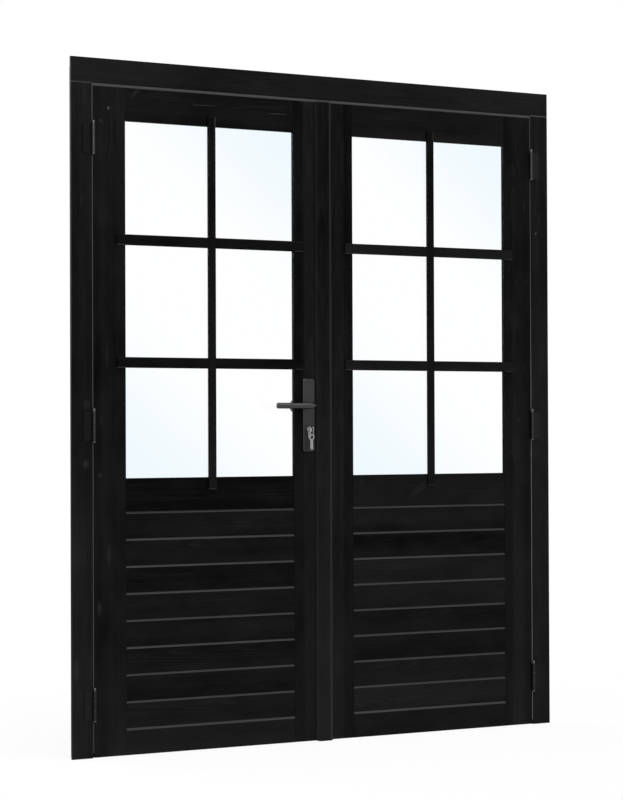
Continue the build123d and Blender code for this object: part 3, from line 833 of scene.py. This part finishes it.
@dataclass
class ScrewRow:
    """A group of countersunk screws with crossed recesses, made as one piece.

    Each place is a point on the plate and the way in which the head faces. The profile, the
    cross and the recess are shares of the head's radius and rise.
    """

    name: str
    body: str
    places: Sequence[tuple[Point, Point]]
    radius: float = 3.4 * MM
    rise: float = 0.8 * MM
    slot: str = "hinge_steel"
    segments: int = 24
    profile: tuple[Pair, ...] = ((1.0, -0.1), (1.0, 0.2), (0.86, 0.62), (0.66, 0.92))
    cross_length: float = 0.50
    cross_half: float = 0.10
    recess: float = 0.15
    first_turn: float = 0.4
    turn_step: float = 1.1

    def build(self, material: Material) -> None:
        """Makes the heads, seats them and lets them ride on their body.

        Args:
            material: The finish of the heads.
        """
        mesh = bmesh.new()
        for index, (point, facing) in enumerate(self.places):
            turn = Matrix.Rotation(self.turn_step * index + self.first_turn, 4, "Z")
            aim = Vector(facing).to_track_quat("Z", "Y").to_matrix().to_4x4()
            self._head(mesh, Matrix.Translation(point) @ aim @ turn)
        data = bpy.data.meshes.new(self.name)
        bmesh.ops.recalc_face_normals(mesh, faces=mesh.faces)
        mesh.to_mesh(data)
        mesh.free()
        piece = bpy.data.objects.new(self.name, data)
        scene.collection.objects.link(piece)
        data.materials.append(material)
        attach(piece, self.body)
        log.info("built %s with %d heads", self.name, len(self.places))

    def _head(self, mesh: bmesh.types.BMesh, place: Matrix) -> None:
        """Adds one head to the mesh.

        Args:
            mesh: The mesh that takes the head.
            place: Where the head sits.
        """
        angles = [2 * math.pi * n / self.segments for n in range(self.segments)]
        loops = []
        for share, height in self.profile:
            out, up = self.radius * share, self.rise * height
            corners = [Vector((out * math.cos(a), out * math.sin(a), up)) for a in angles]
            loops.append([mesh.verts.new(place @ corner) for corner in corners])
        for lower, upper in zip(loops, loops[1:]):
            self._join(mesh, lower, upper)
        long, half = self.radius * self.cross_length, self.radius * self.cross_half
        outline = [
            Matrix.Rotation(math.pi / 2 * n, 2) @ Vector(corner)
            for n in range(4)
            for corner in ((long, -half), (long, half), (half, half))
        ]
        rim, floor = (
            [mesh.verts.new(place @ Vector((*spot, height))) for spot in outline]
            for height in (self.rise, self.rise * self.recess)
        )
        edges = []
        for loop in (loops[-1], rim):
            for ends in zip(loop, loop[1:] + loop[:1]):
                edges.append(mesh.edges.get(ends) or mesh.edges.new(ends))
        bmesh.ops.triangle_fill(mesh, use_beauty=True, use_dissolve=False, edges=edges)
        self._join(mesh, rim, floor)
        mesh.faces.new(floor)

    @staticmethod
    def _join(mesh: bmesh.types.BMesh, first: list, second: list) -> None:
        """Joins two loops of corners with a ring of faces."""
        for corners in zip(first, first[1:] + first[:1], second[1:] + second[:1], second):
            mesh.faces.new(corners)


def dress(node: str, material: Material) -> None:
    """Gives a solid its finish.

    Args:
        node: The solid's name.
        material: The finish that takes the place of its plain one.
    """
    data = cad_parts[node].data
    data.materials.clear()
    data.materials.append(material)
    log.info("dressed %s", node)


def made(finish: SatinMetal) -> Any:
    """A field that holds a finish's material."""
    return field(default_factory=finish.make)


@dataclass
class Metals:
    """The metal finishes that several sub-assemblies share."""

    # The knuckles' painted highlights fade paler towards the head
    hinge: Material = made(SatinMetal(
        "dull_hinge_steel", Fade(0.0125, 0.0172, PLATE_Z), 0.46,
        knuckle_highlight=Fade(0.021, 0.036, KNUCKLE_Z)))
    dark_hinge: Material = made(SatinMetal(
        "dark_hinge_steel", Fade(0.0143, 0.0105, PLATE_Z), 0.50,
        knuckle_highlight=Fade(0.021, 0.044, KNUCKLE_Z)))
    pin: Material = made(SatinMetal("bright_hinge_pin", 0.095, 0.38))
    handle: Material = made(SatinMetal("satin_handle_plate", Fade(0.036, 0.048, HANDLE_Z), 0.36))
    lever: Material = made(SatinMetal("satin_lever", 0.057, 0.22, Grain.LEVEL))
    lock: Material = made(SatinMetal("plated_lock_steel", 0.30, 0.30))
    key: Material = made(SatinMetal("bright_key", 0.30, 0.20, Grain.LEVEL))

    def of_hinge(self, side: Side) -> Material:
        """The hinges' finish on one side; the left ones are darker."""
        return self.dark_hinge if side is Side.LEFT else self.hinge


@dataclass
class DoorFrame:
    """The jambs and the head, with their seals, hinge plates and the bolt's keeper."""

    metals: Metals
    jamb_x: float = 0.807
    head_middle_z: float = 1.974
    seam_z: float = 1.938
    seam_half: float = 1.5 * MM
    left_seam: float = 0.52
    right_seam: float = 0.95
    opening_x: float = 0.7745
    outer_x: float = 0.842
    plate_y: float = FRONT_Y - 2.5 * MM
    plate_screws: tuple[Pair, ...] = ((13.0 * MM, 32.0 * MM), (24.0 * MM, 13.0 * MM))
    plate_screw_rise: float = 0.4 * MM
    keeper_y: float = 0.0305
    keeper_z: float = 1.915
    keeper_half_pitch: float = 12.5 * MM
    keeper_screw: Pair = (2.6 * MM, 0.5 * MM)
    left_tones: Tones = Tones((
        (0.0, 0.60), (0.3, 0.52), (0.6, 0.48), (0.87, 0.25), (1.25, 0.25), (1.5, 0.23),
        (1.8, 0.45),
    ))
    right_tones: Tones = Tones((
        (0.0, 0.48), (0.3, 0.43), (0.6, 0.51), (0.87, 0.53), (1.25, 0.46), (1.5, 0.25),
        (1.8, 0.26),
    ), ((0.812, -0.04),))
    head_tones: Tones = Tones((
        (-0.80, 0.46), (-0.60, 0.44), (-0.34, 0.22), (0.0, 0.32), (0.34, 0.335), (0.65, 0.46),
        (0.84, 0.43),
    ))
    left_marks: tuple[Mark, ...] = (
        RubAndHighlightPatch(-0.794, 1.013, 15 * MM, 17 * MM, 0.07), RubAndHighlightPatch(-0.796, 0.842, 14 * MM, 15 * MM, 0.13),
        RubAndHighlightPatch(-0.827, 0.252, 11 * MM, 36 * MM, 0.08), RubAndHighlightPatch(-0.807, 1.599, 6 * MM, 26 * MM, 0.06),
    )
    right_knot: Knot = Knot(0.793, 1.562, 5 * MM, 0.7)
    # The right seal's grey grows paler towards the foot: painted light, as if the white backdrop
    # showed through the gap there
    right_seal_and_lit_foot: Fade = Fade(0.094, 0.036, (0.7, 1.75))
    left_seal: float = 0.041
    head_seal: float = 0.040

    def dress(self) -> None:
        """Finishes the frame's solids."""
        # The pale lines at the head joints are partly raw wood, partly a painted highlight
        seam = (Grain.LEVEL, self.seam_z - self.seam_half, self.seam_z + self.seam_half)
        left_seam = ThinStainAndHighlightEdge(*seam, self.left_seam, (-self.outer_x, -self.opening_x))
        right_seam = ThinStainAndHighlightEdge(*seam, self.right_seam, (self.opening_x, self.outer_x))
        timbers = (
            StainedWood(
                "left_jamb", Grain.UPRIGHT, -self.jamb_x, self.left_tones,
                marks=(left_seam, *self.left_marks)),
            StainedWood(
                "right_jamb", Grain.UPRIGHT, self.jamb_x, self.right_tones,
                marks=(right_seam,), knots=(self.right_knot,)),
            StainedWood(
                "frame_head", Grain.LEVEL, self.head_middle_z, self.head_tones,
                marks=(left_seam, right_seam)),
        )
        for timber in timbers:
            dress(timber.name, timber.make())
        dress("left_jamb_seal", SoftSeal("left_side_seal", self.left_seal, Grain.UPRIGHT).make())
        dress("right_jamb_seal", SoftSeal("right_side_seal", self.right_seal_and_lit_foot, Grain.UPRIGHT).make())
        dress("head_seal", SoftSeal("top_seal", self.head_seal, Grain.LEVEL).make())
        for side in Side:
            dress(side.named("frame_hinge_plates"), self.metals.of_hinge(side))
            dress(side.named("hinge_pins"), self.metals.pin)
        dress("bolt_keeper", self.metals.hinge)

    def build(self) -> None:
        """Adds the screws of the hinge plates and of the keeper."""
        for side in Side:
            places = [
                ((side.value * (AXIS_X + out), self.plate_y, height + way * rise), (0, -1, 0))
                for height in HINGE_HEIGHTS
                for out, rise in self.plate_screws
                for way in (1, -1)
            ]
            name = side.named("frame_hinge_screws")
            row = ScrewRow(name, "frame", places, rise=self.plate_screw_rise)
            row.build(self.metals.of_hinge(side))
        places = [
            ((BOLT_X + way * self.keeper_half_pitch, self.keeper_y, self.keeper_z), (0, 0, -1))
            for way in (-1, 1)
        ]
        ScrewRow("keeper_screws", "frame", places, *self.keeper_screw).build(self.metals.hinge)


@dataclass
class Leaf:
    """One leaf: its timbers, boards, glass, glazing bars and hinge plates."""

    side: Side
    metals: Metals
    tones: dict[str, Union[float, Tones]]
    board_tones: tuple[float, ...]
    knots: tuple[Knot, ...]
    marks: dict[str, tuple[Mark, ...]]
    edge_x: float = 0.7705
    hinge_stile_x: float = 0.7193
    meeting_stile_x: float = 0.0533
    top_rail_z: float = 1.882
    lock_rail_z: float = 0.752
    bottom_rail_z: float = 0.040
    cross_bars_z: float = 1.314
    # The bottom rail's top bevel gets a painted highlight, front and back
    rail_bevel: ThinStainAndHighlightEdge = ThinStainAndHighlightEdge(Grain.LEVEL, 72.6 * MM, 79.6 * MM)
    bar_feet: tuple[float, ...] = (1.1193, 1.4741)
    bar_overlap: float = 27.0 * MM
    arris: Pair = (1 * MM, 2 * MM)
    # Strengths of the painted highlights on the glazing bars' edges
    cross_bar_foot_highlight: float = 0.34
    upright_foot_highlight: float = 0.30
    upright_side_highlight: float = 0.15
    plate_screws: tuple[Pair, ...] = ((-11.0 * MM, 32.0 * MM), (1.0 * MM, 12.0 * MM))
    plate_screw_rise: float = 0.25 * MM

    def dress(self) -> None:
        """Finishes the leaf's solids."""
        sign = self.side.value
        timbers = (
            ("hinge_stile", Grain.UPRIGHT, sign * self.hinge_stile_x),
            ("meeting_stile", Grain.UPRIGHT, sign * self.meeting_stile_x),
            ("top_rail", Grain.LEVEL, self.top_rail_z),
            ("lock_rail", Grain.LEVEL, self.lock_rail_z),
            ("bottom_rail", Grain.LEVEL, self.bottom_rail_z),
            ("glazing_beads", Grain.UPRIGHT, sign * BAR_X),
            ("muntin_upright", Grain.UPRIGHT, sign * BAR_X),
            ("muntin_cross_bars", Grain.LEVEL, self.cross_bars_z),
        )
        marks = {"bottom_rail": (self.rail_bevel,), **self._bar_end_highlights(), **self.marks}
        for piece, grain, middle in timbers:
            name = self.side.named(piece)
            wood = StainedWood(
                name, grain, middle, self.tones.get(piece, StainedWood.tones),
                knots=self.knots if piece == "hinge_stile" else (),
                marks=marks.get(piece, ()),
                back_edges=(self.rail_bevel,) if piece == "bottom_rail" else (),
            )
            dress(name, wood.make())
        boards = self.side.named("panel_boards")
        wood = StainedWood(boards, Grain.LEVEL, 0.0, board_tones=self.board_tones)
        dress(boards, wood.make())
        pane = ClearGlass(self.side.named("clear_pane"), sign * BAR_X)
        dress(self.side.named("glass"), pane.make())
        dress(self.side.named("leaf_hinge_plates"), self.metals.of_hinge(self.side))

    def _bar_end_highlights(self) -> dict[str, tuple[Mark, ...]]:
        """The painted highlights on the edges at the ends of the glazing bars, and near the
        upright's top.

        Returns:
            The marks of the level bars and of the upright one.
        """
        outer, inner = self.arris
        low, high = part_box(self.side.named("muntin_cross_bars"))
        reaches = ((low.x, low.x + self.bar_overlap), (high.x - self.bar_overlap, high.x))
        level = tuple(
            ThinStainAndHighlightEdge(Grain.LEVEL, foot - outer, foot + inner, self.cross_bar_foot_highlight, reach)
            for foot in self.bar_feet
            for reach in reaches
        )
        low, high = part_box(self.side.named("muntin_upright"))
        upright = (
            ThinStainAndHighlightEdge(Grain.LEVEL, low.z - outer, low.z + inner, self.upright_foot_highlight),
            ThinStainAndHighlightEdge(Grain.UPRIGHT, high.x - inner, high.x + outer, self.upright_side_highlight),
            # A painted highlight near the upright's top
            RubAndHighlightPatch(high.x - inner, high.z - 16 * MM, 3.5 * MM, 30 * MM, 0.30),
        )
        return {"muntin_cross_bars": level, "muntin_upright": upright}

    def build(self) -> None:
        """Adds the flush screws in the leaf's edge."""
        sign = self.side.value
        places = [
            ((sign * self.edge_x, y, height + way * rise), (sign, 0, 0))
            for height in HINGE_HEIGHTS
            for y, rise in self.plate_screws
            for way in (1, -1)
        ]
        name, body = self.side.named("leaf_hinge_screws"), self.side.named("leaf")
        row = ScrewRow(name, body, places, rise=self.plate_screw_rise)
        row.build(self.metals.of_hinge(self.side))


# The tones and marks of each leaf's timbers
LEFT_TONES = {
    "hinge_stile": Tones((
        (0.0, 0.38), (0.3, 0.20), (0.6, 0.17), (0.87, 0.17), (1.2, 0.12), (1.5, 0.21), (1.8, 0.28),
    ), ((-0.744, 0.12), (-0.706, -0.05))),
    "meeting_stile": Tones((
        (0.0, 0.34), (0.3, 0.28), (0.6, 0.22), (0.9, 0.23), (1.2, 0.16), (1.5, 0.12), (1.8, 0.15),
    ), ((-0.070, 0.17), (-0.042, 0.12))),
    "top_rail": Tones(((-0.66, 0.24), (-0.46, 0.17), (-0.30, 0.12), (-0.11, 0.12))),
    "lock_rail": 0.015,
    "bottom_rail": 0.48,
    "muntin_upright": Tones(((0.74, 0.38), (1.10, 0.31), (1.45, 0.18), (1.87, 0.11))),
    "muntin_cross_bars": 0.13,
}
LEFT_BOARDS = (0.23, 0.26, 0.14, 0.36, 0.335, 0.23, 0.215, 0.39)
LEFT_KNOTS = (Knot(-0.722, 1.868, 6 * MM, 0.8),)
LEFT_MARKS = {
    "hinge_stile": (
        RubAndHighlightPatch(-0.753, 0.810, 9 * MM, 10 * MM, 0.12), RubAndHighlightPatch(-0.746, 1.830, 6 * MM, 7 * MM, 0.14),
        RubAndHighlightPatch(-0.727, 1.160, 3 * MM, 60 * MM, 0.06), RubAndHighlightPatch(-0.724, 0.577, 10 * MM, 44 * MM, 0.09),
        RubAndHighlightPatch(-0.754, 0.428, 9 * MM, 24 * MM, 0.11), RubAndHighlightPatch(-0.748, 0.969, 4 * MM, 18 * MM, 0.07),
    ),
    "top_rail": (
        Scuff(-0.450, -0.365, 1.894), Scuff(-0.193, -0.123, 1.884),
        RubAndHighlightPatch(-0.633, 1.919, 20 * MM, 11 * MM, 0.08, 0.9),
    ),
}
RIGHT_TONES = {
    "hinge_stile": Tones((
        (0.0, 0.43), (0.3, 0.36), (0.6, 0.32), (0.9, 0.30), (1.2, 0.20), (1.5, 0.14), (1.8, 0.16),
    ), ((0.700, 0.12), (0.735, -0.04))),
    "meeting_stile": Tones((
        (0.0, 0.57), (0.3, 0.50), (0.6, 0.38), (0.9, 0.40), (1.2, 0.29), (1.5, 0.22), (1.8, 0.20),
    ), ((0.072, -0.14),)),
    "top_rail": Tones(((0.11, 0.24), (0.30, 0.29), (0.46, 0.27), (0.66, 0.30))),
    "lock_rail": 0.335,
    "bottom_rail": Tones(((0.11, 0.37), (0.40, 0.37), (0.66, 0.31))),
    "muntin_upright": Tones(((0.74, 0.20), (1.10, 0.19), (1.45, 0.14), (1.87, 0.08))),
    "muntin_cross_bars": 0.37,
}
RIGHT_BOARDS = (0.36, 0.13, 0.405, 0.42, 0.21, 0.23, 0.40, 0.59)
RIGHT_MARKS = {
    "hinge_stile": (
        RubAndHighlightPatch(0.747, 1.643, 3 * MM, 28 * MM, 0.10), RubAndHighlightPatch(0.755, 1.405, 7 * MM, 7 * MM, 0.06),
        RubAndHighlightPatch(0.713, 1.405, 7 * MM, 6 * MM, 0.06), RubAndHighlightPatch(0.725, 0.969, 9 * MM, 9 * MM, 0.07),
        RubAndHighlightPatch(0.747, 1.134, 3 * MM, 12 * MM, 0.07),
    ),
    "lock_rail": (
        RubAndHighlightPatch(0.341, 0.753, 46 * MM, 16 * MM, 0.05, 0.75), RubAndHighlightPatch(0.304, 0.764, 22 * MM, 5 * MM, 0.04),
        RubAndHighlightPatch(0.134, 0.781, 3 * MM, 11 * MM, 0.12), RubAndHighlightPatch(0.568, 0.749, 3 * MM, 5 * MM, 0.08),
    ),
}


@dataclass
class LockSet:
    """The cover strip, the mortise lock, its handles and keys, and the strike opposite."""

    metals: Metals
    strip_x: float = -0.004
    strip_contrast: float = 0.36
    # The cover strip's edges are paler: partly rubbed stain, partly a painted highlight
    strip_edge_wear_and_highlights: tuple[ThinStainAndHighlightEdge, ...] = (
        ThinStainAndHighlightEdge(Grain.UPRIGHT, 12.5 * MM, 23.5 * MM, 0.15),
        ThinStainAndHighlightEdge(Grain.UPRIGHT, -31.6 * MM, -29.5 * MM, 0.13),
    )
    strip_tones: Tones = Tones((
        (0.0, 0.86), (0.3, 0.64), (0.6, 0.48), (0.87, 0.42), (1.24, 0.23), (1.5, 0.05),
        (1.8, 0.13),
    ))
    edge_x: float = 2.0 * MM
    forend_screws: tuple[float, ...] = (0.867, 1.083)
    strike_screws: tuple[float, ...] = (0.919, 0.977, 1.029)
    screw: Pair = (2.8 * MM, 0.25 * MM)

    def dress(self) -> None:
        """Finishes the lock's solids."""
        strip = StainedWood(
            "cover_strip", Grain.UPRIGHT, self.strip_x, self.strip_tones,
            marks=self.strip_edge_wear_and_highlights, contrast=self.strip_contrast,
        )
        dress(strip.name, strip.make())
        finishes = (
            (self.metals.handle, ("outer_handle_plate", "inner_handle_plate", "handle_bolts")),
            (self.metals.lever, ("outer_lever", "inner_knob")),
            (self.metals.lock, (
                "lock_case", "lock_forend", "lock_cylinder", "latch_bolt", "dead_bolt",
                "latch_hub", "spindle", "cylinder_plug", "strike_plate",
            )),
            (self.metals.key, ("house_key", "key_ring", "spare_key")),
        )
        for finish, names in finishes:
            for name in names:
                dress(name, finish)

    def build(self) -> None:
        """Adds the flush screws of the forend and of the strike plate."""
        for name, side, heights in (
            ("forend_screws", Side.LEFT, self.forend_screws),
            ("strike_screws", Side.RIGHT, self.strike_screws),
        ):
            sign = side.value
            places = [((sign * self.edge_x, 0.0, height), (-sign, 0, 0)) for height in heights]
            row = ScrewRow(name, side.named("leaf"), places, *self.screw, "lock_steel")
            row.build(self.metals.lock)


@dataclass
class SlideBolts:
    """The two slide bolts on the inner face of the right leaf."""

    metals: Metals
    plate_y: float = BACK_Y + 2.0 * MM
    plate_spans: tuple[Pair, ...] = ((0.0095, 0.1995), (1.717, 1.907))
    half_pitch: float = 11.0 * MM
    end_inset: float = 7.0 * MM
    screw_radius: float = 3.0 * MM

    def dress(self) -> None:
        """Finishes the guides and the rods."""
        for end in ("top", "foot"):
            dress(f"{end}_slide_guide", self.metals.hinge)
            dress(f"{end}_slide_rod", self.metals.lock)

    def build(self) -> None:
        """Adds the screws of the guide plates."""
        places = [
            ((BOLT_X + way * self.half_pitch, self.plate_y, height), (0, 1, 0))
            for low, high in self.plate_spans
            for height in (low + self.end_inset, high - self.end_inset)
            for way in (-1, 1)
        ]
        row = ScrewRow("slide_bolt_screws", "right_leaf", places, self.screw_radius)
        row.build(self.metals.hinge)


@dataclass(frozen=True)
class SoftLight:
    """An area light: where it hangs, the point that it faces, its size and its watts."""

    name: str
    place: Point
    target: Point
    size: Pair
    watts: float

    def build(self) -> None:
        """Hangs the light."""
        data = bpy.data.lights.new(self.name, "AREA")
        data.shape = "RECTANGLE"
        data.size, data.size_y = self.size
        data.energy = self.watts
        lamp = bpy.data.objects.new(self.name, data)
        scene.collection.objects.link(lamp)
        lamp.location = self.place
        way = Vector(self.target) - Vector(self.place)
        lamp.rotation_euler = way.to_track_quat("-Z", "Y").to_euler()


@dataclass
class Studio:
    """The pale floor, the white backdrop, the soft lights and the camera."""

    eye: Point = (-3.902, -6.470, 0.934)
    yaw: float = math.radians(30.889)
    pitch: float = math.radians(0.718)
    roll: float = math.radians(-0.217)
    lens: float = 112.1
    sensor: float = 36.0
    view_end: float = 200.0
    ambient: float = 0.42
    white: float = 1.0
    floor_level: float = 0.94
    floor_half: float = 30.0
    floor_cells: int = 8
    floor_z: float = -0.5 * MM
    shadow_reach: Pair = (0.7, 2.2)
    floor_glow: Pair = (0.90, 1.0)
    lights: tuple[SoftLight, ...] = (
        SoftLight("overhead_light", (0.4, -2.2, 5.8), (0.0, 0.0, 1.0), (5.0, 3.4), 190.0),
        SoftLight("front_light", (-3.2, -5.0, 2.6), (0.0, 0.0, 0.8), (2.6, 2.6), 120.0),
        SoftLight("back_light", (-2.8, 5.0, 2.8), (0.0, 0.0, 0.9), (2.6, 2.6), 150.0),
    )

    def build(self) -> None:
        """Sets up the whole studio."""
        self._world()
        self._floor()
        for light in self.lights:
            light.build()
        self._camera()
        scene.view_settings.view_transform = "Standard"

    @staticmethod
    def _backdrop_rays(sheet: Sheet) -> Value:
        """A mask of the rays that see the white backdrop, also in a mirror or through glass."""
        camera = sheet.node("ShaderNodeLightPath", output="Is Camera Ray")
        return camera.most(camera.other("Is Glossy Ray")).most(camera.other("Is Transmission Ray"))

    def _world(self) -> None:
        """Makes a white backdrop, with softer light from it on the object."""
        world = bpy.data.worlds.new("studio")
        scene.world = world
        sheet = Sheet(world)
        soft, white = (
            sheet.node("ShaderNodeBackground", inputs={"Color": grey(1.0), "Strength": strength})
            for strength in (self.ambient, self.white)
        )
        seen = self._backdrop_rays(sheet)
        light = sheet.node("ShaderNodeMixShader", inputs={0: seen, 1: soft, 2: white})
        sheet.node("ShaderNodeOutputWorld", inputs={"Surface": light})

    def _floor(self) -> None:
        """Lays a wide pale floor with a soft shadow."""
        cells = self.floor_cells
        mesh = bmesh.new()
        bmesh.ops.create_grid(mesh, x_segments=cells, y_segments=cells, size=self.floor_half)
        data = bpy.data.meshes.new("floor")
        mesh.to_mesh(data)
        mesh.free()
        floor = bpy.data.objects.new("floor", data)
        scene.collection.objects.link(floor)
        floor.location = (0.0, 0.0, self.floor_z)
        sheet = Sheet(bpy.data.materials.new("pale_floor"))
        matt = sheet.node("ShaderNodeBsdfDiffuse", inputs={"Color": grey(self.floor_level)})
        glow = {"Color": grey(1.0), "Strength": self.white}
        white = sheet.node("ShaderNodeEmission", inputs=glow)
        x, y, _ = sheet.place()
        share = (x * x + y * y).root().step(*self.shadow_reach, *self.floor_glow)
        seen = self._backdrop_rays(sheet) * share
        mixed = sheet.node("ShaderNodeMixShader", inputs={0: seen, 1: matt, 2: white})
        sheet.node("ShaderNodeOutputMaterial", inputs={"Surface": mixed})
        data.materials.append(sheet.owner)

    def _camera(self) -> None:
        """Places the camera at the photograph's angle."""
        data = bpy.data.cameras.new("camera")
        data.sensor_fit = "AUTO"
        data.sensor_width = self.sensor
        data.lens = self.lens
        data.clip_end = self.view_end
        camera = bpy.data.objects.new("camera", data)
        scene.collection.objects.link(camera)
        turned = Matrix.Translation(self.eye)
        turns = ((-self.yaw, "Z"), (math.pi / 2 + self.pitch, "X"), (self.roll, "Z"))
        for angle, axis in turns:
            turned = turned @ Matrix.Rotation(angle, 4, axis)
        camera.matrix_world = turned
        scene.camera = camera


def main() -> None:
    """Builds and dresses every sub-assembly in order."""
    logging.basicConfig(level=logging.INFO, format="%(name)s: %(message)s")
    metals = Metals()
    leaves = (
        Leaf(Side.LEFT, metals, LEFT_TONES, LEFT_BOARDS, LEFT_KNOTS, LEFT_MARKS),
        Leaf(Side.RIGHT, metals, RIGHT_TONES, RIGHT_BOARDS, (), RIGHT_MARKS),
    )
    for part in (DoorFrame(metals), *leaves, LockSet(metals), SlideBolts(metals)):
        part.dress()
        part.build()
    Studio().build()


if __name__ == "__main__":
    main()
